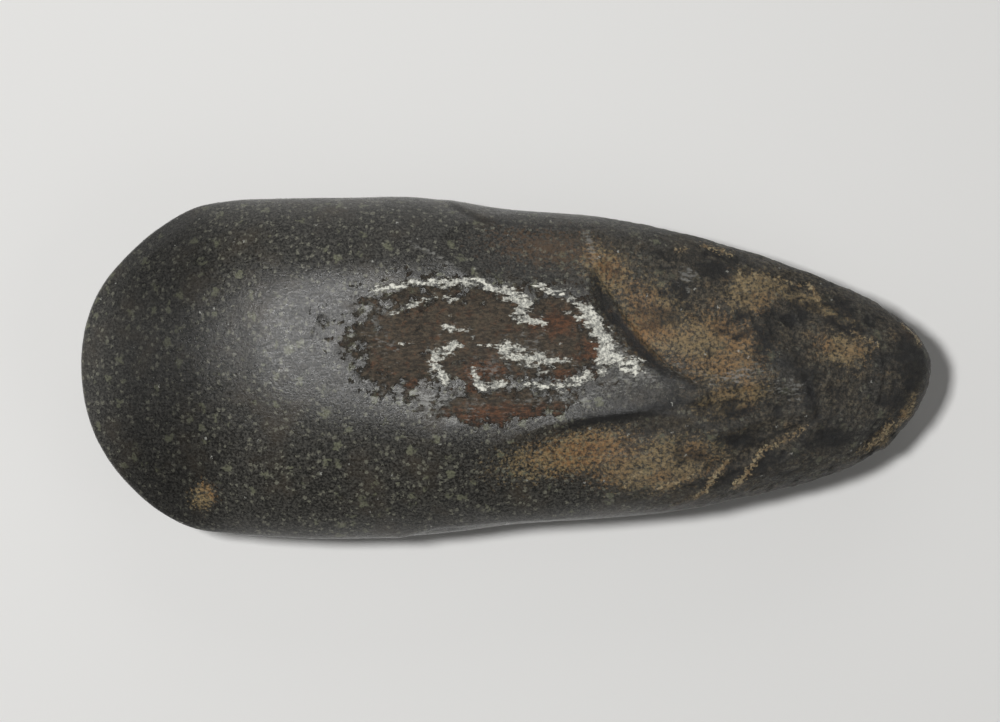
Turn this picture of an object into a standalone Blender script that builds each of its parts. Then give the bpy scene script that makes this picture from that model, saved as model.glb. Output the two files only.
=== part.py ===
"""Polished stone axe head, lying on its lower face: +X runs from the cutting edge to the butt, +Z is up.

The stone is one solid. Its outline is an ellipse made fuller or leaner station by station, and an upper and a
lower face bulge from that outline like the two sides of a pillow. Each face is a dome that thins to the cutting
edge. The upper dome has a plateau ground across its crest, and flake scars are hollowed into both.

Places on the stone are shares: a station is -1 at the cutting edge and 1 at the butt, and an offset is -1 and 1
at the two sides of the widest part.
"""

from collections import namedtuple

import bmesh
import bpy
import numpy as np

# Driving sizes, in metres
LENGTH = 0.200
WIDTH = 0.080
UPPER_RISE = 0.0212
LOWER_DEPTH = 0.0213

# Facets along and across each face
CELLS_LONG = 72
CELLS_ACROSS = 28
RIM_CROWDING = 0.6

# The outline's half breadth at each station, over that of an ellipse of the same length and width
OUTLINE_STATIONS = (-1, -0.92, -0.82, -0.74, -0.66, -0.55, -0.4, -0.2, 0, 0.2, 0.4, 0.6, 0.8, 0.9, 1)
FAR_SIDE = (1.62, 1.48, 1.425, 1.385, 1.3, 1.19, 1.09, 1.02, 0.93, 0.907, 0.868, 0.817, 0.775, 0.765, 0.76)
NEAR_SIDE = (1.6, 1.51, 1.465, 1.4, 1.295, 1.19, 1.1, 1.01, 0.93, 0.911, 0.918, 0.922, 0.99, 1.016, 0.93)

# Height of each dome's crest along the stone, over that of an ellipse: the blade end thins to an edge
CREST_STATIONS = (-1, -0.95, -0.9, -0.8, -0.7, -0.58, -0.4, 0, 0.4, 0.8, 1)
UPPER_CREST = (0.35, 0.585, 0.7, 0.87, 0.975, 1.04, 1.034, 1.0, 1.01, 0.985, 1.05)
LOWER_CREST = (0.35, 0.6, 0.72, 0.88, 0.97, 1.02, 1.03, 1.0, 0.98, 0.95, 1.0)
UPPER_DOME = 1.085
LOWER_DOME = 1.03

# The crest wanders from the middle of the breadth, towards the far side where the offset is positive
RIDGE_STATIONS = (-1, -0.55, 0, 0.37, 0.7, 1)
UPPER_RIDGE = (0.05, 0.18, 0.07, -0.1, -0.07, 0)
LOWER_RIDGE = (0, 0.02, 0, -0.04, 0.05, 0)

# Section of a dome across the stone: 1 at the crest, 0 at the outline
SECTION_FALL = 2.4
SECTION_ROUND = 0.526

# Between these stations the section changes from the blade's, with heights parallel to the edge, to the body's
BLADE_ENDS = -0.52
BLADE_STARTS = -0.82

# Height of the ground plateau along the stone, as a share of UPPER_RISE
PLATEAU_STATIONS = (-1, -0.3, 0.1, 0.4, 0.7, 1)
PLATEAU_LEVEL = (1, 1, 0.995, 0.965, 0.9, 0.8)
PLATEAU_EDGE = 0.08

# A scar's half sizes are shares of the half length, its turn is in degrees from +X to +Y, its depth is a share
# of the height there, and its lean moves the deepest place along its long axis. A wall under 1 makes the rim steep
Scar = namedtuple("Scar", "station offset half_long half_short turn depth lean")
UPPER_SCARS = (
    Scar(0.425, 0.34, 0.245, 0.165, -25, 0.24, -0.3),
    Scar(0.22, -0.6, 0.32, 0.125, 8, 0.16, 0.2),
    Scar(0.70, 0.29, 0.16, 0.11, -28, 0.2, -0.2),
    Scar(0.84, -0.06, 0.13, 0.115, 0, 0.13, 0.3),
    Scar(0.56, -0.47, 0.15, 0.065, 22, 0.16, 0),
    Scar(0.55, -0.23, 0.14, 0.05, 6, 0.1, 0.2),
    Scar(0.05, 0.70, 0.2, 0.075, -2, 0.12, 0),
    Scar(0.89, -0.38, 0.1, 0.05, 42, 0.18, 0),
    Scar(0.89, 0.21, 0.1, 0.045, -36, 0.12, 0),
)
LOWER_SCARS = (
    Scar(0.50, -0.42, 0.24, 0.13, 18, 0.2, -0.2),
    Scar(0.34, 0.50, 0.26, 0.11, -10, 0.15, 0.2),
    Scar(0.74, 0.16, 0.15, 0.12, -20, 0.18, 0),
    Scar(0.80, -0.24, 0.13, 0.09, 30, 0.15, 0.2),
    Scar(-0.16, -0.78, 0.17, 0.06, 4, 0.12, 0),
)
SCAR_WALL = 0.75

STONE_COLOUR = (0.035, 0.032, 0.028, 1)
STONE_ROUGHNESS = 0.45


def through(stations, values, at):
    """Smooth curve through hand-set values: cubic Hermite pieces whose slopes are the mean of their neighbours'."""
    stations = np.asarray(stations, float)
    values = np.asarray(values, float)
    slopes = np.gradient(values, stations)
    at = np.clip(at, stations[0], stations[-1])
    piece = np.clip(np.searchsorted(stations, at) - 1, 0, len(stations) - 2)
    step = stations[piece + 1] - stations[piece]
    t = (at - stations[piece]) / step
    return (
        values[piece] * (1 + 2 * t) * (1 - t) ** 2
        + slopes[piece] * step * t * (1 - t) ** 2
        + values[piece + 1] * t**2 * (3 - 2 * t)
        + slopes[piece + 1] * step * t**2 * (t - 1)
    )


def smooth_step(low, high, value):
    t = np.clip((value - low) / (high - low), 0, 1)
    return t * t * (3 - 2 * t)


def soft_lower(first, second, reach):
    """The lower of two heights, rounded where they come within reach of each other."""
    near = np.clip(reach - np.abs(first - second), 0, None) / reach
    return np.minimum(first, second) - near**2 * reach / 4


def disc_from_square(across, up):
    """A square's points moved into the unit disc, its sides onto the rim, and crowded towards that rim."""
    disc_x = across * np.sqrt(1 - up**2 / 2)
    disc_y = up * np.sqrt(1 - across**2 / 2)
    radius = np.hypot(disc_x, disc_y)
    crowded = (1 - RIM_CROWDING) * radius + RIM_CROWDING * np.sin(radius * np.pi / 2)
    stretch = np.divide(crowded, radius, out=np.ones_like(radius), where=radius > 0)
    return disc_x * stretch, disc_y * stretch


def plan_of(disc_x, disc_y):
    """Plan place, in metres, of a point of the disc: the disc's rim becomes the outline."""
    fullness = np.where(
        disc_y > 0,
        through(OUTLINE_STATIONS, FAR_SIDE, disc_x),
        through(OUTLINE_STATIONS, NEAR_SIDE, disc_x),
    )
    return disc_x * LENGTH / 2, disc_y * fullness * WIDTH / 2


def dome_share(disc_x, disc_y, crest, ridge):
    """Height of a dome over its middle height: 0 on the outline, thin at the blade and full behind it."""
    reach = np.sqrt(np.clip(1 - disc_x**2, 1e-9, None))
    offset = np.clip(disc_y / reach, -1, 1)
    offset = offset - through(RIDGE_STATIONS, ridge, disc_x) * (1 - offset**2)
    body = reach * through(CREST_STATIONS, crest, disc_x)
    body *= np.clip(1 - np.abs(offset) ** SECTION_FALL, 0, None) ** SECTION_ROUND
    from_edge = np.clip(np.hypot(disc_x, reach * offset), 0, 1)
    blade = np.sqrt(1 - from_edge**2) * through(CREST_STATIONS, crest, -from_edge)
    body_weight = smooth_step(BLADE_STARTS, BLADE_ENDS, disc_x)
    return blade + (body - blade) * body_weight


def scar_depth(x, y, scars):
    """Share of the height that the flakes took away: the deepest scar counts, so neighbours meet in a ridge."""
    depth = np.zeros_like(x)
    for scar in scars:
        turn = np.radians(scar.turn)
        along_x = x - scar.station * LENGTH / 2
        along_y = y - scar.offset * WIDTH / 2
        long = (along_x * np.cos(turn) + along_y * np.sin(turn)) / (scar.half_long * LENGTH / 2)
        short = (along_y * np.cos(turn) - along_x * np.sin(turn)) / (scar.half_short * LENGTH / 2)
        bowl = np.clip(1 - long**2 - short**2, 0, None) * (1 + scar.lean * np.clip(long, -1, 1))
        depth = np.maximum(depth, scar.depth * bowl**SCAR_WALL)
    return depth


def upper_height(disc_x, disc_y):
    """Height of the upper face over the outline, in metres."""
    x, y = plan_of(disc_x, disc_y)
    dome = UPPER_DOME * dome_share(disc_x, disc_y, UPPER_CREST, UPPER_RIDGE)
    ground = soft_lower(dome, through(PLATEAU_STATIONS, PLATEAU_LEVEL, disc_x), PLATEAU_EDGE)
    return UPPER_RISE * ground * (1 - scar_depth(x, y, UPPER_SCARS))


def lower_height(disc_x, disc_y):
    """Height of the lower face over the outline, in metres, so it is negative."""
    x, y = plan_of(disc_x, disc_y)
    dome = LOWER_DOME * dome_share(disc_x, disc_y, LOWER_CREST, LOWER_RIDGE)
    return -LOWER_DEPTH * dome * (1 - scar_depth(x, y, LOWER_SCARS))


def face_grid():
    """Disc places of one face's corners, with rows across the stone."""
    across, up = np.meshgrid(
        np.linspace(-1, 1, CELLS_LONG + 1), np.linspace(-1, 1, CELLS_ACROSS + 1), indexing="ij"
    )
    return disc_from_square(across, up)


def add_face(mesh, height_of, turned):
    """One face of the pillow, as a grid of quads whose outer corners lie on the outline."""
    disc_x, disc_y = face_grid()
    x, y = plan_of(disc_x, disc_y)
    z = height_of(disc_x, disc_y)
    z[[0, -1], :] = 0
    z[:, [0, -1]] = 0
    corners = [
        [mesh.verts.new(place) for place in zip(*row)]
        for row in zip(x.tolist(), y.tolist(), (z + LOWER_DEPTH).tolist())
    ]
    for row, next_row in zip(corners, corners[1:]):
        for i in range(len(row) - 1):
            quad = (row[i], next_row[i], next_row[i + 1], row[i + 1])
            mesh.faces.new(quad[::-1] if turned else quad)


def cut_resting_spot(mesh):
    """Takes off what bulges below z = 0 and closes the cut with one flat face."""
    cut = bmesh.ops.bisect_plane(
        mesh,
        geom=mesh.verts[:] + mesh.edges[:] + mesh.faces[:],
        dist=1e-7,
        plane_co=(0, 0, 0),
        plane_no=(0, 0, -1),
        clear_outer=True,
    )
    rim = [edge for edge in cut["geom_cut"] if isinstance(edge, bmesh.types.BMEdge)]
    bmesh.ops.edgeloop_fill(mesh, edges=rim)


def stone_material():
    material = bpy.data.materials.new("dark_polished_stone")
    material.use_nodes = True
    surface = material.node_tree.nodes["Principled BSDF"]
    surface.inputs["Base Color"].default_value = STONE_COLOUR
    surface.inputs["Roughness"].default_value = STONE_ROUGHNESS
    surface.inputs["Metallic"].default_value = 0
    return material


def make_axe_head():
    shape = bmesh.new()
    add_face(shape, upper_height, turned=False)
    add_face(shape, lower_height, turned=True)
    bmesh.ops.remove_doubles(shape, verts=shape.verts[:], dist=1e-6)
    cut_resting_spot(shape)
    bmesh.ops.recalc_face_normals(shape, faces=shape.faces[:])
    mesh = bpy.data.meshes.new("axe_head")
    shape.to_mesh(mesh)
    shape.free()
    mesh.shade_smooth()
    mesh.set_sharp_from_angle(angle=np.radians(30))
    mesh.materials.append(stone_material())
    head = bpy.data.objects.new("axe_head", mesh)
    bpy.context.scene.collection.objects.link(head)
    return head


for old in list(bpy.data.objects):
    bpy.data.objects.remove(old)

make_axe_head()
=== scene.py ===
"""The polished stone axe head's surface, finer than its solid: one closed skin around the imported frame.

The skin repeats the solid's outline, domes, plateau and flake scars, and then adds what a hand would feel:
pits, the rough cortex on the plateau and the pale residue in it, ledges, worn ridges and the creases of the
weathered end. Fields worked out with the shape are kept on the mesh, and the material breaks them into patches.
"""

from collections import namedtuple

import bpy
import numpy as np
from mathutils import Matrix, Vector


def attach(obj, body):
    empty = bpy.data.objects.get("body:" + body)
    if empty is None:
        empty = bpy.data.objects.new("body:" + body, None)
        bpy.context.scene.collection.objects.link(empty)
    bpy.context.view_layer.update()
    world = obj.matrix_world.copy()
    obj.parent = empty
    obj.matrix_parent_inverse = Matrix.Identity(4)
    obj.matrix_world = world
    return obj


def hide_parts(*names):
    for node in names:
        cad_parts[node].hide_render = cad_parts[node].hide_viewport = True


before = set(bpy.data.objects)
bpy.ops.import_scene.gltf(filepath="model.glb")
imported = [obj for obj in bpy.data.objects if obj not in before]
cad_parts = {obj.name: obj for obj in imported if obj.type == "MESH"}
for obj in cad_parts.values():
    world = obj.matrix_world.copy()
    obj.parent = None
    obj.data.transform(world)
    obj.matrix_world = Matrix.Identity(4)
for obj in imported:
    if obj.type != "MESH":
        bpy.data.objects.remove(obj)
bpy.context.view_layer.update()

# The stone's sizes, in metres, as its solid has them
LENGTH = 0.200
WIDTH = 0.080
UPPER_RISE = 0.0212
LOWER_DEPTH = 0.0213
MM = 0.001

# Cells along and across each face of the skin
CELLS_LONG = 392
CELLS_ACROSS = 126
RIM_CROWDING = 0.45

# The outline's half breadth at each station, over that of an ellipse of the same length and width
OUTLINE_STATIONS = (-1, -0.92, -0.82, -0.74, -0.66, -0.55, -0.4, -0.2, 0, 0.2, 0.4, 0.6, 0.8, 0.9, 1)
FAR_SIDE = (1.62, 1.48, 1.425, 1.385, 1.3, 1.19, 1.09, 1.02, 0.93, 0.907, 0.868, 0.817, 0.775, 0.765, 0.76)
NEAR_SIDE = (1.6, 1.51, 1.465, 1.4, 1.295, 1.19, 1.1, 1.01, 0.93, 0.911, 0.918, 0.922, 0.99, 1.016, 0.93)

# Height of each dome's crest along the stone, over that of an ellipse
CREST_STATIONS = (-1, -0.95, -0.9, -0.8, -0.7, -0.58, -0.4, 0, 0.4, 0.8, 1)
UPPER_CREST = (0.35, 0.585, 0.7, 0.87, 0.975, 1.04, 1.034, 1.0, 1.01, 0.985, 1.05)
LOWER_CREST = (0.35, 0.6, 0.72, 0.88, 0.97, 1.02, 1.03, 1.0, 0.98, 0.95, 1.0)
UPPER_DOME = 1.085
LOWER_DOME = 1.03

# How far the crest wanders from the middle of the breadth
RIDGE_STATIONS = (-1, -0.55, 0, 0.37, 0.7, 1)
UPPER_RIDGE = (0.05, 0.18, 0.07, -0.1, -0.07, 0)
LOWER_RIDGE = (0, 0.02, 0, -0.04, 0.05, 0)
SECTION_FALL = 2.4
SECTION_ROUND = 0.526
BLADE_ENDS = -0.52
BLADE_STARTS = -0.82
PLATEAU_STATIONS = (-1, -0.3, 0.1, 0.4, 0.7, 1)
PLATEAU_LEVEL = (1, 1, 0.995, 0.965, 0.9, 0.8)
PLATEAU_EDGE = 0.08

# Flake scars: half sizes are shares of the half length, turns are in degrees from +X to +Y
Scar = namedtuple("Scar", "station offset half_long half_short turn depth lean")
UPPER_SCARS = (
    Scar(0.425, 0.34, 0.245, 0.165, -25, 0.24, -0.3),
    Scar(0.22, -0.6, 0.32, 0.125, 8, 0.16, 0.2),
    Scar(0.70, 0.29, 0.16, 0.11, -28, 0.2, -0.2),
    Scar(0.84, -0.06, 0.13, 0.115, 0, 0.13, 0.3),
    Scar(0.56, -0.47, 0.15, 0.065, 22, 0.16, 0),
    Scar(0.55, -0.23, 0.14, 0.05, 6, 0.1, 0.2),
    Scar(0.05, 0.70, 0.2, 0.075, -2, 0.12, 0),
    Scar(0.89, -0.38, 0.1, 0.05, 42, 0.18, 0),
    Scar(0.89, 0.21, 0.1, 0.045, -36, 0.12, 0),
)
LOWER_SCARS = (
    Scar(0.50, -0.42, 0.24, 0.13, 18, 0.2, -0.2),
    Scar(0.34, 0.50, 0.26, 0.11, -10, 0.15, 0.2),
    Scar(0.74, 0.16, 0.15, 0.12, -20, 0.18, 0),
    Scar(0.80, -0.24, 0.13, 0.09, 30, 0.15, 0.2),
    Scar(-0.16, -0.78, 0.17, 0.06, 4, 0.12, 0),
)
SCAR_WALL = 0.75

# Where marks lie, in pixels of the reference picture, which looks straight down on the stone
PIXEL = LENGTH / 850
PIXEL_CENTRE = (506, 367.5)
PICTURE_SIZE = (1000, 722)

# Lines of marks: half width in pixels, strength, then the line's points. Pale residue in the cortex
RESIDUE_LINES = (
    (5, 0.9, ((378, 291), (405, 286), (430, 284), (480, 284), (503, 295))),
    (4, 0.8, ((392, 314), (425, 303), (436, 298), (457, 302))),
    (8, 1.0, ((505, 293), (526, 303), (519, 316))),
    (6, 0.95, ((519, 314), (528, 322), (542, 325))),
    (6, 0.8, ((536, 288), (566, 296), (585, 313))),
    (9, 1.05, ((585, 314), (600, 336), (602, 362))),
    (9, 0.95, ((602, 340), (612, 358), (634, 368))),
    (7, 0.85, ((598, 372), (576, 380), (560, 386))),
    (10, 1.0, ((508, 352), (528, 357), (545, 362))),
    (5, 0.8, ((545, 362), (556, 360), (570, 362))),
    (7, 0.95, ((455, 347), (436, 355), (436, 366), (447, 378))),
    (4, 0.95, ((474, 368), (477, 384), (482, 388))),
    (6, 0.85, ((480, 384), (497, 386), (512, 380))),
    (6, 0.7, ((512, 380), (540, 386), (570, 382))),
    (4, 0.8, ((446, 328), (466, 331), (472, 337))),
    (3, 0.75, ((403, 343), (418, 342))),
    (3, 0.7, ((462, 346), (485, 345), (508, 345))),
    (4, 0.65, ((560, 312), (575, 318), (584, 324))),
)
# Cream and tan streaks in the weathered end
STREAK_LINES = (
    (4, 0.8, ((622, 486), (630, 476), (638, 472))),
    (3.5, 0.9, ((656, 486), (672, 481), (688, 473))),
    (4, 1.0, ((694, 494), (704, 487), (710, 478))),
    (4, 1.0, ((706, 480), (716, 468), (724, 460))),
    (5, 1.0, ((732, 484), (742, 472), (750, 462))),
    (4.5, 0.9, ((750, 462), (757, 450), (765, 446))),
    (6, 0.75, ((764, 447), (782, 438), (798, 427))),
    (4, 0.9, ((672, 252), (684, 251))),
    (5, 0.8, ((738, 270), (736, 284), (732, 299))),
    (5, 0.85, ((748, 274), (760, 280), (776, 279))),
    (4, 0.85, ((700, 246), (716, 251), (730, 256))),
    (4, 0.85, ((776, 278), (790, 284), (798, 285))),
    (4, 0.95, ((806, 284), (812, 294), (816, 299))),
    (5, 0.7, ((846, 330), (862, 340), (874, 345))),
    (7, 0.9, ((868, 447), (880, 438), (888, 424))),
    (4, 0.8, ((894, 427), (906, 414), (912, 402))),
    (3.5, 0.9, ((900, 324), (911, 334), (919, 345))),
)
# Crisp dark lines: cracks, and painted shade at the feet of steep walls
CRACK_AND_SHADE_LINES = (
    (4.5, 0.8, ((588, 276), (600, 299), (618, 324), (638, 350), (660, 371), (690, 388))),
    (4, 0.65, ((560, 428), (600, 418), (640, 408), (690, 400))),
    (3, 0.8, ((756, 440), (775, 431), (795, 422))),
    (1.5, 0.9, ((778, 389), (790, 391), (804, 390))),
    (3, 0.7, ((450, 205), (480, 222), (515, 226), (590, 231))),
    (4, 0.7, ((797, 376), (806, 394), (812, 415))),
    (3, 0.7, ((876, 352), (880, 372), (876, 392))),
    (3, 0.6, ((806, 300), (826, 318), (834, 330))),
    (1.5, 0.7, ((392, 538), (440, 529), (470, 529))),
    (2, 0.6, ((500, 300), (520, 292), (545, 290))),
    (2.5, 0.8, ((748, 318), (757, 338), (770, 352))),
)
# Blots: place, half length and half breadth in pixels, turn in degrees
Blot = namedtuple("Blot", "px py long short turn")
CORTEX_BLOTS = (
    Blot(465, 336, 104, 50, -3),
    Blot(555, 338, 52, 44, -12),
    Blot(500, 405, 66, 15, 4),
    Blot(400, 345, 44, 46, 0),
)
CORTEX_RED_BLOTS = (
    Blot(486, 368, 24, 12, 0),
    Blot(566, 376, 24, 9, 8),
    Blot(470, 384, 22, 7, 0),
    Blot(415, 384, 10, 6, 0),
    Blot(500, 412, 56, 10, 4),
    Blot(555, 325, 26, 14, 0),
    Blot(586, 352, 14, 12, 0),
)
OCHRE_BLOTS = (
    Blot(606, 274, 32, 18, -45),
    Blot(700, 345, 62, 34, -12),
    Blot(655, 325, 34, 46, 25),
    Blot(748, 292, 26, 22, 0),
    Blot(728, 400, 36, 17, 20),
    Blot(800, 300, 60, 8, -24),
    Blot(570, 452, 64, 24, 10),
    Blot(655, 462, 66, 26, 12),
    Blot(876, 440, 22, 8, 33),
    Blot(906, 404, 18, 5, 62),
    Blot(835, 350, 30, 18, 0),
    Blot(207, 495, 15, 13, 60),
)
RUST_BLOTS = (
    Blot(545, 250, 70, 26, -6),
    Blot(608, 270, 22, 16, -40),
    Blot(585, 450, 60, 26, 8),
    Blot(905, 335, 16, 5, -45),
    Blot(640, 330, 30, 30, -45),
)
# Dark stains, and thin strips of painted shade along the feet of ledge walls
STAIN_AND_SHADE_BLOTS = (
    Blot(908, 362, 18, 36, 8),
    Blot(890, 400, 18, 9, 0),
    Blot(736, 439, 20, 9, 0),
    Blot(824, 438, 34, 9, 4),
    Blot(708, 271, 20, 11, -15),
    Blot(806, 396, 9, 22, 0),
    Blot(633, 346, 66, 6, -50),
    Blot(625, 412, 70, 8, 12),
    Blot(735, 412, 40, 5, 20),
    Blot(760, 340, 10, 22, -20),
    Blot(840, 310, 16, 8, -35),
    Blot(740, 470, 60, 8, 18),
)
# Grey frosting, partly painted sheen on the plateau's rim and on worn ridges and bumps
FROST_AND_SHEEN_BLOTS = (
    Blot(640, 376, 60, 17, 4),
    Blot(685, 278, 17, 14, 0),
    Blot(730, 376, 42, 9, 10),
    Blot(785, 388, 26, 14, 0),
    Blot(560, 398, 70, 11, 4),
    Blot(435, 258, 40, 4, -30),
    Blot(588, 245, 6, 24, 15),
    Blot(430, 408, 60, 13, -14),
    Blot(440, 400, 90, 18, -8),
    Blot(505, 360, 110, 40, 0),
    Blot(384, 320, 26, 46, 20),
    Blot(610, 350, 26, 36, 20),
)
PITS = (
    Blot(327, 322, 5, 7, 40),
    Blot(319, 334, 3, 3, 0),
    Blot(299, 313, 3, 2.5, 0),
    Blot(622, 360, 4, 3, 0),
    Blot(616, 351, 4, 3, 0),
)
# Ledges: the stone is lower to the right of the line as it runs. Drop and reach in millimetres, then points
LEDGES = (
    (1.1, 3.5, ((696, 388), (664, 366), (640, 342), (614, 306), (590, 268))),
    (0.8, 4, ((805, 425), (775, 447), (738, 462), (712, 470))),
    (0.55, 3, ((452, 206), (480, 220), (505, 233), (548, 236), (600, 238))),
    (0.5, 3, ((400, 538), (440, 527), (500, 522), (560, 519))),
    (0.45, 2.5, ((755, 350), (748, 322), (742, 300), (720, 292))),
    (0.5, 3, ((874, 458), (862, 440), (882, 418), (902, 404))),
    (0.5, 2.5, ((812, 418), (806, 396), (796, 374))),
    (0.35, 2.5, ((700, 250), (735, 262), (790, 280), (850, 306))),
    (0.45, 2, ((876, 394), (880, 372), (876, 350))),
    (0.3, 2.5, ((560, 432), (600, 421), (640, 411), (700, 402))),
)
# Worn ridges between scars: rise and reach in millimetres, then points
RIDGES = (
    (0.6, 2.4, ((690, 382), (720, 380), (760, 374), (800, 374))),
    (0.45, 1.6, ((745, 300), (757, 340), (775, 360), (800, 374))),
    (0.45, 1.8, ((592, 228), (586, 250), (583, 270))),
    (0.4, 2.2, ((398, 232), (430, 250), (470, 278))),
    (0.35, 1.4, ((640, 497), (690, 478), (700, 470))),
    (0.35, 1.2, ((700, 505), (722, 488), (745, 465))),
    (0.8, 4.0, ((680, 272), (688, 280), (694, 286))),
)

PIT_DEPTH = 0.35 * MM
LEDGE_STEP = 0.4 * MM

# The noise lattice repeats after this many cells, and its raw heights are raised to reach about 1
NOISE_TABLE = 256
NOISE_GAIN = 1.6


# Shape functions, the same as the solid's


def through(stations, values, at):
    """Smooth curve through given values: cubic Hermite pieces, each slope the mean of its neighbours'."""
    stations = np.asarray(stations, float)
    values = np.asarray(values, float)
    slopes = np.gradient(values, stations)
    at = np.clip(at, stations[0], stations[-1])
    piece = np.clip(np.searchsorted(stations, at) - 1, 0, len(stations) - 2)
    step = stations[piece + 1] - stations[piece]
    t = (at - stations[piece]) / step
    return (
        values[piece] * (1 + 2 * t) * (1 - t) ** 2
        + slopes[piece] * step * t * (1 - t) ** 2
        + values[piece + 1] * t**2 * (3 - 2 * t)
        + slopes[piece + 1] * step * t**2 * (t - 1)
    )


def smooth_step(low, high, value):
    """0 at low, 1 at high, an S-curve between them and level beyond. It falls where low is over high."""
    t = np.clip((value - low) / (high - low), 0, 1)
    return t * t * (3 - 2 * t)


def soft_lower(first, second, reach):
    """The lower of two heights, rounded where they come within reach of each other."""
    near = np.clip(reach - np.abs(first - second), 0, None) / reach
    return np.minimum(first, second) - near**2 * reach / 4


def disc_from_square(across, up):
    """A square's points moved into the unit disc, its sides onto the rim, and crowded towards that rim."""
    disc_x = across * np.sqrt(1 - up**2 / 2)
    disc_y = up * np.sqrt(1 - across**2 / 2)
    radius = np.hypot(disc_x, disc_y)
    crowded = (1 - RIM_CROWDING) * radius + RIM_CROWDING * np.sin(radius * np.pi / 2)
    stretch = np.divide(crowded, radius, out=np.ones_like(radius), where=radius > 0)
    return disc_x * stretch, disc_y * stretch


def plan_of(disc_x, disc_y):
    """Plan place, in metres, of a point of the disc: the disc's rim becomes the outline."""
    fullness = np.where(
        disc_y > 0,
        through(OUTLINE_STATIONS, FAR_SIDE, disc_x),
        through(OUTLINE_STATIONS, NEAR_SIDE, disc_x),
    )
    return disc_x * LENGTH / 2, disc_y * fullness * WIDTH / 2


def dome_share(disc_x, disc_y, crest, ridge):
    """Height of a dome over its middle height: 0 on the outline, thin at the blade and full behind it."""
    reach = np.sqrt(np.clip(1 - disc_x**2, 1e-9, None))
    offset = np.clip(disc_y / reach, -1, 1)
    offset = offset - through(RIDGE_STATIONS, ridge, disc_x) * (1 - offset**2)
    body = reach * through(CREST_STATIONS, crest, disc_x)
    body *= np.clip(1 - np.abs(offset) ** SECTION_FALL, 0, None) ** SECTION_ROUND
    from_edge = np.clip(np.hypot(disc_x, reach * offset), 0, 1)
    blade = np.sqrt(1 - from_edge**2) * through(CREST_STATIONS, crest, -from_edge)
    body_weight = smooth_step(BLADE_STARTS, BLADE_ENDS, disc_x)
    return blade + (body - blade) * body_weight


def scar_depth(x, y, scars):
    """Share of the height that the flakes took: the deepest scar counts, so neighbours meet in a ridge."""
    depth = np.zeros_like(x)
    for scar in scars:
        turn = np.radians(scar.turn)
        along_x = x - scar.station * LENGTH / 2
        along_y = y - scar.offset * WIDTH / 2
        long = (along_x * np.cos(turn) + along_y * np.sin(turn)) / (scar.half_long * LENGTH / 2)
        short = (along_y * np.cos(turn) - along_x * np.sin(turn)) / (scar.half_short * LENGTH / 2)
        bowl = np.clip(1 - long**2 - short**2, 0, None) * (1 + scar.lean * np.clip(long, -1, 1))
        depth = np.maximum(depth, scar.depth * bowl**SCAR_WALL)
    return depth


# Noise and marks


def gradient_noise(places, size, seed):
    """Perlin noise, about -1 to 1: a smooth blend of random slopes set on a lattice of the given cell size."""
    rng = np.random.default_rng(seed)
    shuffle = rng.permutation(NOISE_TABLE)
    slopes = rng.normal(size=(NOISE_TABLE, 3))
    slopes /= np.linalg.norm(slopes, axis=1)[:, None]
    scaled = places / size
    cell = np.floor(scaled).astype(int)
    inside = scaled - cell
    ease = inside**3 * (inside * (inside * 6 - 15) + 10)
    total = np.zeros(len(places))
    for corner in np.ndindex(2, 2, 2):
        corner = np.array(corner)
        at = (cell + corner) % NOISE_TABLE
        pick = shuffle[(shuffle[(shuffle[at[:, 0]] + at[:, 1]) % NOISE_TABLE] + at[:, 2]) % NOISE_TABLE]
        slope_height = np.einsum("ij,ij->i", slopes[pick], inside - corner)
        weight = np.where(corner, ease, 1 - ease).prod(axis=1)
        total += weight * slope_height
    return total * NOISE_GAIN


def layered_noise(places, size, seed, layers=4, rough=0.5):
    """Noise over noise: each layer has half the cell size and rough times the height of the one before."""
    total = np.zeros(len(places))
    for layer in range(layers):
        total += rough**layer * gradient_noise(places, size / 2**layer, seed + layer)
    return total


def from_picture(px, py):
    """Plan place, in metres, of a pixel of the reference picture."""
    return (px - PIXEL_CENTRE[0]) * PIXEL, (PIXEL_CENTRE[1] - py) * PIXEL


def blot_field(x, y, blots):
    """1 in the middle of a blot, 0.5 on its rim and 0 well outside; the fullest blot counts."""
    field = np.zeros_like(x)
    for blot in blots:
        middle_x, middle_y = from_picture(blot.px, blot.py)
        turn = np.radians(blot.turn)
        along_x, along_y = x - middle_x, y - middle_y
        long = (along_x * np.cos(turn) + along_y * np.sin(turn)) / (blot.long * PIXEL)
        short = (along_y * np.cos(turn) - along_x * np.sin(turn)) / (blot.short * PIXEL)
        field = np.maximum(field, 1 - 0.5 * np.hypot(long, short))
    return np.clip(field, 0, 1)


def line_field(x, y, points):
    """Distance from a line of straight runs, and how far a place is to its left, both in metres."""
    places = [from_picture(*point) for point in points]
    nearest = np.full_like(x, np.inf)
    left = np.zeros_like(x)
    for (ax, ay), (bx, by) in zip(places, places[1:]):
        run_x, run_y = bx - ax, by - ay
        run = np.hypot(run_x, run_y)
        share = np.clip(((x - ax) * run_x + (y - ay) * run_y) / run**2, 0, 1)
        distance = np.hypot(x - ax - share * run_x, y - ay - share * run_y)
        side = (run_x * (y - ay) - run_y * (x - ax)) / run
        closer = distance < nearest
        nearest = np.where(closer, distance, nearest)
        left = np.where(closer, side, left)
    return nearest, left


def lines_field(x, y, lines):
    """A line's strength on it, half of that one half width away and 0 at two. The fullest line counts."""
    field = np.zeros_like(x)
    for half_width, strength, points in lines:
        distance, _ = line_field(x, y, points)
        field = np.maximum(field, strength * (1 - 0.5 * distance / (half_width * PIXEL)))
    return np.clip(field, 0, 1)


# The skin


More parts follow.
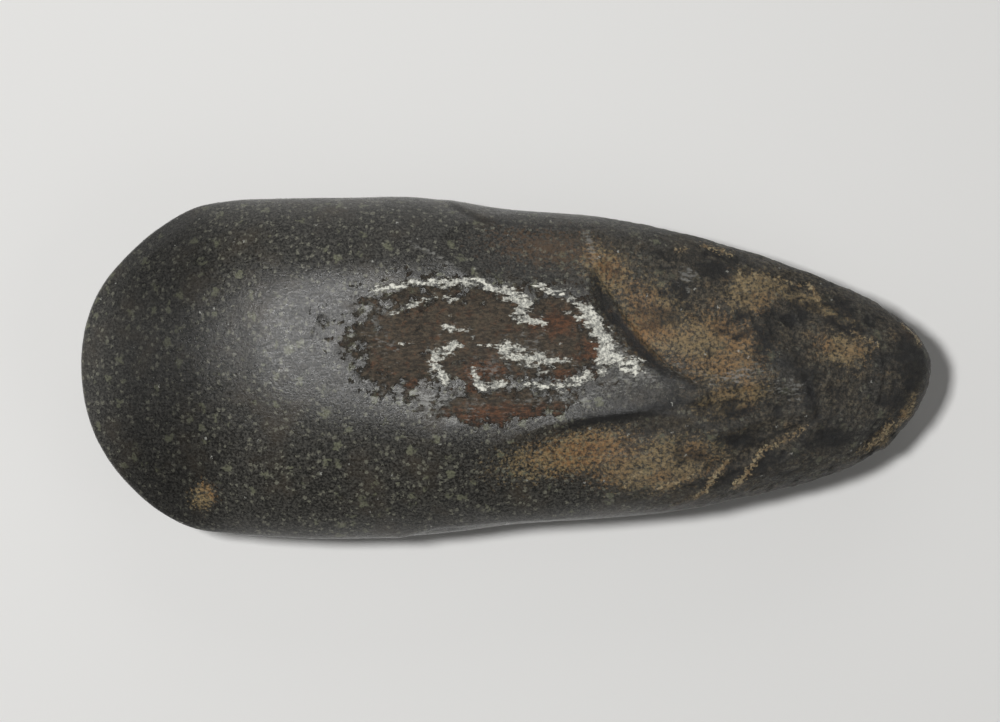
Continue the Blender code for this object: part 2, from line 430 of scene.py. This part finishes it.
def skin_grid():
    """The skin's corners on the disc, its quads, and which corners are on the lower face or the rim."""
    across, up = np.meshgrid(
        np.linspace(-1, 1, CELLS_LONG + 1), np.linspace(-1, 1, CELLS_ACROSS + 1), indexing="ij"
    )
    disc_x, disc_y = disc_from_square(across, up)
    rows, columns = across.shape
    upper = np.arange(rows * columns).reshape(rows, columns)
    lower = upper.copy()
    lower[1:-1, 1:-1] = upper.size + np.arange((rows - 2) * (columns - 2)).reshape(rows - 2, columns - 2)

    def quads_of(index):
        corners = index[:-1, :-1], index[1:, :-1], index[1:, 1:], index[:-1, 1:]
        return np.stack(corners, axis=-1).reshape(-1, 4)

    quads = np.concatenate([quads_of(upper), quads_of(lower)[:, ::-1]])
    disc_x = np.concatenate([disc_x.ravel(), disc_x[1:-1, 1:-1].ravel()])
    disc_y = np.concatenate([disc_y.ravel(), disc_y[1:-1, 1:-1].ravel()])
    is_lower = np.arange(len(disc_x)) >= upper.size
    is_rim = np.zeros(len(disc_x), bool)
    is_rim[np.concatenate([upper[0], upper[-1], upper[:, 0], upper[:, -1]])] = True
    return disc_x, disc_y, quads, is_lower, is_rim


def plain_skin(disc_x, disc_y, is_lower, is_rim):
    """The solid's own surface at each corner: an upper and a lower dome less their scars."""
    x, y = plan_of(disc_x, disc_y)
    upper = UPPER_DOME * dome_share(disc_x, disc_y, UPPER_CREST, UPPER_RIDGE)
    upper = soft_lower(upper, through(PLATEAU_STATIONS, PLATEAU_LEVEL, disc_x), PLATEAU_EDGE)
    upper *= UPPER_RISE * (1 - scar_depth(x, y, UPPER_SCARS))
    lower = LOWER_DOME * dome_share(disc_x, disc_y, LOWER_CREST, LOWER_RIDGE)
    lower *= -LOWER_DEPTH * (1 - scar_depth(x, y, LOWER_SCARS))
    height = np.where(is_rim, 0, np.where(is_lower, lower, upper))
    return np.column_stack([x, y, height + LOWER_DEPTH])


def new_skin(name, places, quads):
    """A mesh object from arrays of corners and quads, shaded smooth."""
    mesh = bpy.data.meshes.new(name)
    mesh.from_pydata(places.tolist(), [], quads.tolist())
    mesh.shade_smooth()
    skin = bpy.data.objects.new(name, mesh)
    bpy.context.scene.collection.objects.link(skin)
    return skin


def corner_normals(mesh):
    """The mesh's normals at its corners, one row each."""
    normals = np.empty(len(mesh.vertices) * 3, np.float32)
    mesh.vertex_normals.foreach_get("vector", normals)
    return normals.reshape(-1, 3).astype(float)


def keep_field(mesh, name, values):
    """A field kept on the mesh's corners, for the material to read."""
    layer = mesh.attributes.new(name, "FLOAT", "POINT")
    layer.data.foreach_set("value", values.astype(np.float32))


def surface_fields(places, is_lower, disc_x):
    """Where each finish lies, and where shade and sheen are painted, from 0 to 1, and the chipped relief in
    millimetres.

    The upper face takes its finishes from the marks above. The hidden face has ochre and rust, set by noise.
    """
    x, y = places[:, 0], places[:, 1]
    on_top = smooth_step(-0.25, 0.1, (places[:, 2] - LOWER_DEPTH) / UPPER_RISE)
    scarred = np.where(is_lower, scar_depth(x, y, LOWER_SCARS), scar_depth(x, y, UPPER_SCARS))
    drift = layered_noise(places, 22 * MM, 11, 3)
    butt = smooth_step(0.05, 0.6, disc_x + 0.12 * drift)
    hidden = 1 - on_top
    patchy = np.clip(0.5 + 0.6 * layered_noise(places, 16 * MM, 23, 3), 0, 1)
    even_ochre = 0.72 * smooth_step(0.18, 0.78, blot_field(x, y, OCHRE_BLOTS) + 0.16 * drift)
    return {
        "cortex": blot_field(x, y, CORTEX_BLOTS) * on_top,
        "cortex_red": blot_field(x, y, CORTEX_RED_BLOTS) * on_top,
        "residue": lines_field(x, y, RESIDUE_LINES) * on_top,
        "streak": lines_field(x, y, STREAK_LINES) * on_top,
        # cracks, and painted shade at the feet of steep walls
        "crack_and_shade": lines_field(x, y, CRACK_AND_SHADE_LINES) * on_top,
        # grey frosting, partly painted sheen
        "frost_and_sheen": blot_field(x, y, FROST_AND_SHEEN_BLOTS) * on_top,
        "ochre": np.maximum(even_ochre * on_top, hidden * butt * patchy * 0.7),
        "rust": np.maximum(blot_field(x, y, RUST_BLOTS) * on_top, hidden * butt * (1 - patchy) * 0.6),
        # stains, and painted shade along the feet of ledge walls
        "stain_and_shade": blot_field(x, y, STAIN_AND_SHADE_BLOTS) * on_top,
        # painted shade on the blade's bevel, where it slopes away from the light
        "bevel_shade": smooth_step(-0.98, -0.86, disc_x) * smooth_step(-0.62, -0.76, disc_x + 0.02 * drift),
        "weather": np.clip(butt * 0.75 + 3.0 * scarred * butt, 0, 1),
        "chipped": chipped_noise(places),
    }


def mark_relief(x, y):
    """Height of the ledges, ridges and pits on the upper face, in metres."""
    relief = np.zeros_like(x)
    for drop, reach, points in LEDGES:
        distance, left = line_field(x, y, points)
        fade = np.exp(-distance / (reach * MM))
        relief += drop * MM * fade * np.clip(left / LEDGE_STEP, -1, 1) / 2
    for rise, reach, points in RIDGES:
        distance, _ = line_field(x, y, points)
        relief += rise * MM * np.exp(-distance / (reach * MM))
    for pit in PITS:
        relief -= PIT_DEPTH * smooth_step(0.45, 0.75, blot_field(x, y, (pit,)))
    return relief


def chipped_noise(places):
    """The weathered end's relief in millimetres: lumps and grit, less creases where a finer noise is near 0."""
    lumps = layered_noise(places * np.array([0.8, 1.5, 1.2]), 7 * MM, 31, 4)
    creases = 1 - np.clip(np.abs(layered_noise(places, 5 * MM, 47, 2)) / 0.22, 0, 1)
    grit = np.abs(layered_noise(places, 2.6 * MM, 59, 2))
    return 0.38 * lumps - 0.22 * creases + 0.2 * grit


def fine_relief(places, fields, is_lower):
    """Height added along the surface's normal, in metres: worn smooth at the blade, coarse on the butt."""
    x, y = places[:, 0], places[:, 1]
    weather = fields["weather"]
    ground = 0.14 * layered_noise(places, 26 * MM, 3, 2) + 0.035 * layered_noise(places, 3.2 * MM, 5, 2)
    cortex = smooth_step(0.45, 0.62, fields["cortex"] + 0.2 * layered_noise(places, 4 * MM, 53, 3))
    residue = smooth_step(0.45, 0.65, fields["residue"] + 0.4 * layered_noise(places, 2.4 * MM, 61, 3))
    streak = smooth_step(0.45, 0.8, fields["streak"] + 0.3 * layered_noise(places, 2.4 * MM, 67, 2))
    rough = -0.28 + 0.22 * layered_noise(places, 3 * MM, 71, 3)
    relief = (ground + weather * fields["chipped"] + cortex * (1 - residue) * rough + 0.12 * streak) * MM
    return relief + np.where(is_lower, 0, mark_relief(x, y))


def make_stone():
    """The skin: the solid's surface moved along its normals by the fine relief, and kept above the ground."""
    disc_x, disc_y, quads, is_lower, is_rim = skin_grid()
    places = plain_skin(disc_x, disc_y, is_lower, is_rim)
    stone = new_skin("stone_skin", places, quads)
    fields = surface_fields(places, is_lower, disc_x)
    relief = fine_relief(places, fields, is_lower)
    places = places + corner_normals(stone.data) * relief[:, None]
    places[:, 2] = np.maximum(places[:, 2], 0)
    stone.data.vertices.foreach_set("co", places.astype(np.float32).ravel())
    stone.data.update()
    for name, values in fields.items():
        keep_field(stone.data, name, values)
    return stone


# Material


class Nodes:
    """Short ways to add nodes to one tree and link them."""

    def __init__(self, tree):
        self.tree = tree

    def add(self, kind, **settings):
        node = self.tree.nodes.new(kind)
        for name, value in settings.items():
            setattr(node, name, value)
        return node

    def put(self, socket, value):
        if isinstance(value, bpy.types.NodeSocket):
            self.tree.links.new(value, socket)
        else:
            socket.default_value = value

    def math(self, operation, first, second):
        node = self.add("ShaderNodeMath", operation=operation)
        self.put(node.inputs[0], first)
        self.put(node.inputs[1], second)
        return node.outputs[0]

    def mix(self, share, first, second, blend="MIX"):
        node = self.add("ShaderNodeMix", data_type="RGBA", blend_type=blend)
        self.put(node.inputs["Factor"], share)
        self.put(node.inputs["A"], first)
        self.put(node.inputs["B"], second)
        return node.outputs["Result"]

    def between(self, share, first, second):
        node = self.add("ShaderNodeMix", data_type="FLOAT")
        self.put(node.inputs["Factor"], share)
        self.put(node.inputs["A"], first)
        self.put(node.inputs["B"], second)
        return node.outputs["Result"]

    def noise(self, vector, scale, detail=4.0, rough=0.6):
        """Noise whose scale is in cells to the metre, so a scale of 1000 has lumps of a millimetre."""
        node = self.add("ShaderNodeTexNoise")
        self.put(node.inputs["Vector"], vector)
        self.put(node.inputs["Scale"], scale)
        self.put(node.inputs["Detail"], detail)
        self.put(node.inputs["Roughness"], rough)
        return node.outputs["Fac"]

    def steps(self, value, low, high):
        """0 at low, 1 at high and an S-curve between them."""
        node = self.add("ShaderNodeMapRange", interpolation_type="SMOOTHSTEP")
        self.put(node.inputs["Value"], value)
        self.put(node.inputs["From Min"], low)
        self.put(node.inputs["From Max"], high)
        return node.outputs["Result"]

    def field(self, name):
        """A field kept on the mesh."""
        return self.add("ShaderNodeAttribute", attribute_name=name).outputs["Fac"]

    def group(self, tree, **values):
        node = self.add("ShaderNodeGroup", node_tree=tree)
        for name, value in values.items():
            self.put(node.inputs[name], value)
        return node.outputs


def new_group(name, inputs, outputs):
    """An empty node group with named float and vector sockets, and its input and output nodes."""
    tree = bpy.data.node_groups.new(name, "ShaderNodeTree")
    for socket, kind in inputs:
        tree.interface.new_socket(socket, in_out="INPUT", socket_type=kind)
    for socket, kind in outputs:
        tree.interface.new_socket(socket, in_out="OUTPUT", socket_type=kind)
    nodes = Nodes(tree)
    return tree, nodes, nodes.add("NodeGroupInput").outputs, nodes.add("NodeGroupOutput").inputs


FLOAT = "NodeSocketFloat"
VECTOR = "NodeSocketVector"


def ragged_patch_group():
    """A soft field made a patch with a ragged rim: noise lifts or lowers the field before it is cut."""
    tree, nodes, given, result = new_group(
        "ragged_patch",
        (
            ("Place", VECTOR),
            ("Field", FLOAT),
            ("Scale", FLOAT),
            ("Fray", FLOAT),
            ("Cut", FLOAT),
            ("Softness", FLOAT),
        ),
        (("Patch", FLOAT),),
    )
    lift = nodes.math("SUBTRACT", nodes.noise(given["Place"], given["Scale"], 6.0, 0.68), 0.5)
    lifted = nodes.math("ADD", given["Field"], nodes.math("MULTIPLY", lift, given["Fray"]))
    low = nodes.math("SUBTRACT", given["Cut"], given["Softness"])
    high = nodes.math("ADD", given["Cut"], given["Softness"])
    inside = nodes.math("GREATER_THAN", given["Field"], 0.001)
    nodes.tree.links.new(nodes.math("MULTIPLY", nodes.steps(lifted, low, high), inside), result["Patch"])
    return tree


def flecks_group():
    """Mineral flecks: a share of the cells of a bent cellular pattern, each shown as a spot at its middle."""
    tree, nodes, given, result = new_group(
        "flecks",
        (("Place", VECTOR), ("Scale", FLOAT), ("Share", FLOAT), ("Spread", FLOAT)),
        (("Flecks", FLOAT),),
    )
    warp = nodes.add("ShaderNodeTexNoise")
    nodes.put(warp.inputs["Vector"], given["Place"])
    nodes.put(warp.inputs["Scale"], nodes.math("MULTIPLY", given["Scale"], 2.3))
    bend = nodes.add("ShaderNodeVectorMath", operation="SCALE")
    nodes.put(bend.inputs[0], warp.outputs["Color"])
    nodes.put(bend.inputs["Scale"], nodes.math("DIVIDE", 1.3, given["Scale"]))
    bent = nodes.add("ShaderNodeVectorMath", operation="ADD")
    nodes.put(bent.inputs[0], given["Place"])
    nodes.put(bent.inputs[1], bend.outputs[0])
    cells = nodes.add("ShaderNodeTexVoronoi")
    nodes.put(cells.inputs["Vector"], bent.outputs[0])
    nodes.put(cells.inputs["Scale"], given["Scale"])
    chance = nodes.add("ShaderNodeSeparateColor")
    nodes.put(chance.inputs[0], cells.outputs["Color"])
    chosen = nodes.math("LESS_THAN", chance.outputs[0], given["Share"])
    full_within = nodes.math("MULTIPLY", given["Spread"], 0.45)
    spot = nodes.steps(cells.outputs["Distance"], given["Spread"], full_within)
    nodes.tree.links.new(nodes.math("MULTIPLY", chosen, spot), result["Flecks"])
    return tree


# Colours of the stone, linear
BASALT_DARK = (0.012, 0.0117, 0.0105, 1)
BASALT_GREY = (0.07, 0.067, 0.058, 1)
BASALT_BROWN = (0.062, 0.05, 0.036, 1)
FELDSPAR = (0.185, 0.182, 0.14, 1)
OLIVE_CRYSTAL = (0.15, 0.153, 0.102, 1)
GLINT = (0.42, 0.42, 0.38, 1)
WEATHERED_DARK = (0.018, 0.0165, 0.014, 1)
WEATHERED_TAN = (0.135, 0.112, 0.076, 1)
OCHRE = (0.34, 0.25, 0.125, 1)
OCHRE_ORANGE = (0.36, 0.185, 0.07, 1)
RUST = (0.12, 0.07, 0.036, 1)
CORTEX_BROWN = (0.105, 0.08, 0.054, 1)
CORTEX_RED = (0.15, 0.068, 0.034, 1)
CORTEX_DARK = (0.02, 0.018, 0.015, 1)
RESIDUE_WHITE = (0.8, 0.79, 0.7, 1)
RESIDUE_GREY = (0.3, 0.3, 0.275, 1)
STREAK_CREAM = (0.42, 0.34, 0.2, 1)
STREAK_TAN = (0.22, 0.15, 0.075, 1)
# Grey of the frosting and of its painted sheen
FROST_AND_SHEEN_GREY = (0.24, 0.238, 0.22, 1)
# Near black for stains and cracks, and for painted shade in hollows and at the feet of walls
STAIN_AND_SHADE = (0.009, 0.009, 0.0092, 1)
BEVEL_SHADE = (0.36, 0.36, 0.36, 1)


def stone_material():
    """Basalt with flecks, with each finish, painted shade and painted sheen laid over the ones before it.

    They are painted shade on the bevel, weathering, rust, ochre, painted shade in the hollows and tan with a
    painted highlight on the crests of the chipped end, grey frosting partly painted sheen, stains and cracks
    with painted shade at the feet of walls, cortex, residue, streaks and last the glints.
    """
    material = bpy.data.materials.new("dark_polished_stone")
    material.use_nodes = True
    nodes = Nodes(material.node_tree)
    surface = nodes.tree.nodes["Principled BSDF"]
    place = nodes.add("ShaderNodeTexCoord").outputs["Object"]
    drawn_out = nodes.add("ShaderNodeMapping")
    drawn_out.inputs["Scale"].default_value = (0.45, 1, 1)
    nodes.put(drawn_out.inputs["Vector"], place)
    streaked = drawn_out.outputs["Vector"]
    ragged, flecks = ragged_patch_group(), flecks_group()

    def patch(name, scale, fray, cut, softness, where=place):
        """A field of the mesh as a ragged patch."""
        given = {"Place": where, "Field": nodes.field(name), "Scale": scale}
        return nodes.group(ragged, Fray=fray, Cut=cut, Softness=softness, **given)["Patch"]

    def some(share, mask):
        """A share of a mask."""
        return nodes.math("MULTIPLY", mask, share)

    grain = nodes.steps(nodes.noise(place, 1700.0, 3.0, 0.75), 0.4, 0.64)
    colour = nodes.mix(grain, BASALT_DARK, BASALT_GREY)
    mottle = nodes.steps(nodes.noise(place, 85.0, 5.0, 0.62), 0.48, 0.72)
    colour = nodes.mix(some(0.5, mottle), colour, BASALT_BROWN)
    small = nodes.group(flecks, Place=place, Scale=820.0, Share=0.32, Spread=0.5)
    broken = nodes.between(nodes.steps(nodes.noise(place, 2600.0, 2.0), 0.42, 0.58), 0.55, 1.0)
    colour = nodes.mix(some(0.85, nodes.math("MULTIPLY", small["Flecks"], broken)), colour, FELDSPAR)
    large = nodes.group(flecks, Place=place, Scale=350.0, Share=0.2, Spread=0.46)
    colour = nodes.mix(some(0.85, nodes.math("MULTIPLY", large["Flecks"], broken)), colour, OLIVE_CRYSTAL)
    # Painted shade on the bevel, darker where it slopes away from the light
    bevel_shade = nodes.field("bevel_shade")
    colour = nodes.mix(some(0.8, bevel_shade), colour, BEVEL_SHADE, "MULTIPLY")

    weather = nodes.field("weather")
    veins = nodes.steps(nodes.noise(place, 1150.0, 6.0, 0.8), 0.45, 0.62)
    weathered = nodes.mix(veins, WEATHERED_DARK, WEATHERED_TAN)
    weather_share = nodes.math("MULTIPLY", weather, nodes.steps(nodes.noise(place, 120.0, 4.0), 0.3, 0.6))
    colour = nodes.mix(some(0.85, weather_share), colour, weathered)

    rust = patch("rust", 1200.0, 2.6, 0.78, 0.2)
    colour = nodes.mix(some(0.5, rust), colour, RUST)
    ochre = patch("ochre", 1350.0, 3.4, 0.72, 0.4)
    ochre_hue = nodes.steps(nodes.noise(place, 70.0, 3.0), 0.45, 0.6)
    ochre_hue = nodes.math("MAXIMUM", some(0.6, ochre_hue), some(0.8, rust))
    ochre_colour = nodes.mix(ochre_hue, OCHRE, OCHRE_ORANGE)
    colour = nodes.mix(some(0.72, ochre), colour, ochre_colour)

    chipped = nodes.field("chipped")
    # Painted shade in the hollows of the chipped end, and tan with a painted highlight on its crests
    hollow_shade = nodes.math("MULTIPLY", weather, nodes.steps(chipped, 0.04, -0.3))
    colour = nodes.mix(some(0.85, hollow_shade), colour, STAIN_AND_SHADE)
    crest_tan_and_highlight = nodes.math("MULTIPLY", weather, nodes.steps(chipped, 0.14, 0.4))
    crest_tan_and_highlight = nodes.math("MULTIPLY", crest_tan_and_highlight, veins)
    colour = nodes.mix(some(0.6, crest_tan_and_highlight), colour, STREAK_TAN)

    # Grey frosting, partly painted sheen on the plateau's rim and worn ridges
    frost_and_sheen = patch("frost_and_sheen", 1400.0, 3.0, 0.92, 0.2, streaked)
    colour = nodes.mix(some(0.6, frost_and_sheen), colour, FROST_AND_SHEEN_GREY)
    # Stains, and painted shade along the feet of ledge walls
    stain_and_shade = patch("stain_and_shade", 300.0, 1.1, 0.55, 0.25)
    colour = nodes.mix(some(0.8, stain_and_shade), colour, STAIN_AND_SHADE)
    # Cracks, and painted shade at the feet of steep walls
    crack_and_shade = patch("crack_and_shade", 700.0, 1.0, 0.55, 0.3)
    colour = nodes.mix(some(0.75, crack_and_shade), colour, STAIN_AND_SHADE)

    cortex = patch("cortex", 420.0, 1.5, 0.56, 0.1)
    cortex_hue = patch("cortex_red", 420.0, 1.8, 0.6, 0.2)
    cortex_veins = nodes.steps(nodes.noise(place, 560.0, 6.0, 0.78), 0.52, 0.64)
    cortex_hue = nodes.math("MAXIMUM", cortex_hue, some(0.7, cortex_veins))
    cortex_colour = nodes.mix(cortex_hue, CORTEX_BROWN, CORTEX_RED)
    cortex_specks = nodes.steps(nodes.noise(streaked, 1500.0, 5.0, 0.8), 0.6, 0.42)
    cortex_colour = nodes.mix(some(0.8, cortex_specks), cortex_colour, CORTEX_DARK)
    # Grey frosting and painted sheen over the cortex
    cortex_frost_and_sheen = nodes.math("MULTIPLY", frost_and_sheen, nodes.steps(nodes.noise(place, 180.0, 3.0), 0.46, 0.6))
    cortex_colour = nodes.mix(some(0.6, cortex_frost_and_sheen), cortex_colour, FROST_AND_SHEEN_GREY)
    colour = nodes.mix(some(0.9, cortex), colour, cortex_colour)

    residue = patch("residue", 1000.0, 2.6, 0.68, 0.08, streaked)
    residue_tone = nodes.steps(nodes.noise(place, 1300.0, 4.0, 0.7), 0.4, 0.58)
    residue_colour = nodes.mix(residue_tone, RESIDUE_GREY, RESIDUE_WHITE)
    colour = nodes.mix(some(0.95, residue), colour, residue_colour)
    streak = patch("streak", 1300.0, 2.8, 0.8, 0.14)
    streak_tone = nodes.steps(nodes.noise(place, 700.0, 4.0, 0.7), 0.42, 0.62)
    colour = nodes.mix(some(0.85, streak), colour, nodes.mix(streak_tone, STREAK_TAN, STREAK_CREAM))

    glints = nodes.group(flecks, Place=place, Scale=900.0, Share=0.012, Spread=0.34)
    colour = nodes.mix(some(0.7, glints["Flecks"]), colour, GLINT)
    nodes.put(surface.inputs["Base Color"], colour)

    # Polish, dulled by the grain and by fine scratches along the stone, then by each rougher finish
    scratches = nodes.add("ShaderNodeMapping")
    scratches.inputs["Scale"].default_value = (0.12, 1, 1)
    nodes.put(scratches.inputs["Vector"], place)
    scratch = nodes.noise(scratches.outputs["Vector"], 2200.0, 2.0, 0.6)
    dulled = nodes.steps(nodes.math("MULTIPLY", nodes.noise(place, 1100.0, 3.0), scratch), 0.12, 0.42)
    roughness = nodes.between(dulled, 0.25, 0.44)
    roughness = nodes.between(some(0.8, weather), roughness, 0.66)
    roughness = nodes.between(cortex, roughness, 0.8)
    roughness = nodes.between(residue, roughness, 0.85)
    nodes.put(surface.inputs["Roughness"], roughness)
    nodes.put(surface.inputs["Specular IOR Level"], 0.42)

    # Relief too fine for the mesh
    fine = nodes.noise(place, 1700.0, 4.0, 0.7)
    coarse = nodes.noise(place, 640.0, 6.0, 0.8)
    rough_share = nodes.math("MAXIMUM", some(0.8, weather), some(0.9, cortex))
    height = nodes.math("MULTIPLY", coarse, nodes.between(rough_share, 0.6, 4.2))
    height = nodes.math("ADD", height, nodes.math("MULTIPLY", fine, nodes.between(rough_share, 0.6, 1.4)))
    height = nodes.math("ADD", height, some(0.12, scratch))
    height = nodes.math("ADD", height, some(0.7, residue))
    bump = nodes.add("ShaderNodeBump")
    nodes.put(bump.inputs["Strength"], 0.9)
    nodes.put(bump.inputs["Distance"], 0.16 * MM)
    nodes.put(bump.inputs["Height"], height)
    nodes.put(surface.inputs["Normal"], bump.outputs["Normal"])
    return material


# Stage

FLOOR_HALF = 3.0
FLOOR_LEVEL = -0.2 * MM
FLOOR_COLOUR = (0.78, 0.775, 0.76, 1)
LIGHTS_AIM = (0, 0, 0.02)
LENS = 135.0
FILM_WIDTH = 36.0


def make_floor():
    """A wide pale floor just under the resting spot."""
    corners = ((-1, -1), (1, -1), (1, 1), (-1, 1))
    mesh = bpy.data.meshes.new("floor")
    mesh.from_pydata([(x * FLOOR_HALF, y * FLOOR_HALF, FLOOR_LEVEL) for x, y in corners], [], [(0, 1, 2, 3)])
    floor = bpy.data.objects.new("floor", mesh)
    bpy.context.scene.collection.objects.link(floor)
    paper = bpy.data.materials.new("pale_floor")
    paper.use_nodes = True
    surface = paper.node_tree.nodes["Principled BSDF"]
    surface.inputs["Base Color"].default_value = FLOOR_COLOUR
    surface.inputs["Roughness"].default_value = 0.9
    mesh.materials.append(paper)


def add_light(name, place, size, power):
    """A square soft light that faces the stone: place and size in metres, power in watts."""
    lamp = bpy.data.lights.new(name, "AREA")
    lamp.energy = power
    lamp.size = size
    light = bpy.data.objects.new(name, lamp)
    light.location = place
    aim = Vector(LIGHTS_AIM) - Vector(place)
    light.rotation_mode = "QUATERNION"
    light.rotation_quaternion = aim.to_track_quat("-Z", "Y")
    bpy.context.scene.collection.objects.link(light)


def make_lights():
    """One small light that gives the polished shoulder its highlight, three wide weak ones and a dim room."""
    add_light("overhead", (-0.26, 0.085, 1.06), 0.12, 9.0)
    add_light("left_bank", (-1.5, 0.1, 0.5), 1.2, 2.6)
    add_light("right_bank", (1.2, -0.6, 0.9), 1.2, 2.4)
    add_light("far_bank", (0.1, 1.4, 0.7), 1.2, 3.0)
    world = bpy.data.worlds.new("soft_room")
    world.use_nodes = True
    glow = world.node_tree.nodes["Background"]
    glow.inputs["Color"].default_value = (1.0, 0.99, 0.96, 1)
    glow.inputs["Strength"].default_value = 0.08
    bpy.context.scene.world = world


def make_camera():
    """Straight down, as the picture looks, with the picture's width of 1000 pixels filling the frame."""
    picture_width = PICTURE_SIZE[0] * PIXEL
    data = bpy.data.cameras.new("picture_camera")
    data.lens = LENS
    data.sensor_width = FILM_WIDTH
    data.clip_start = 0.01
    camera = bpy.data.objects.new("picture_camera", data)
    x, y = from_picture(PICTURE_SIZE[0] / 2, PICTURE_SIZE[1] / 2)
    camera.location = (x, y, LOWER_DEPTH + picture_width * LENS / FILM_WIDTH)
    bpy.context.scene.collection.objects.link(camera)
    bpy.context.scene.camera = camera


stone = make_stone()
stone.data.materials.append(stone_material())
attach(stone, "root")
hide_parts("axe_head")
make_floor()
make_lights()
make_camera()
bpy.context.scene.view_settings.view_transform = "Standard"
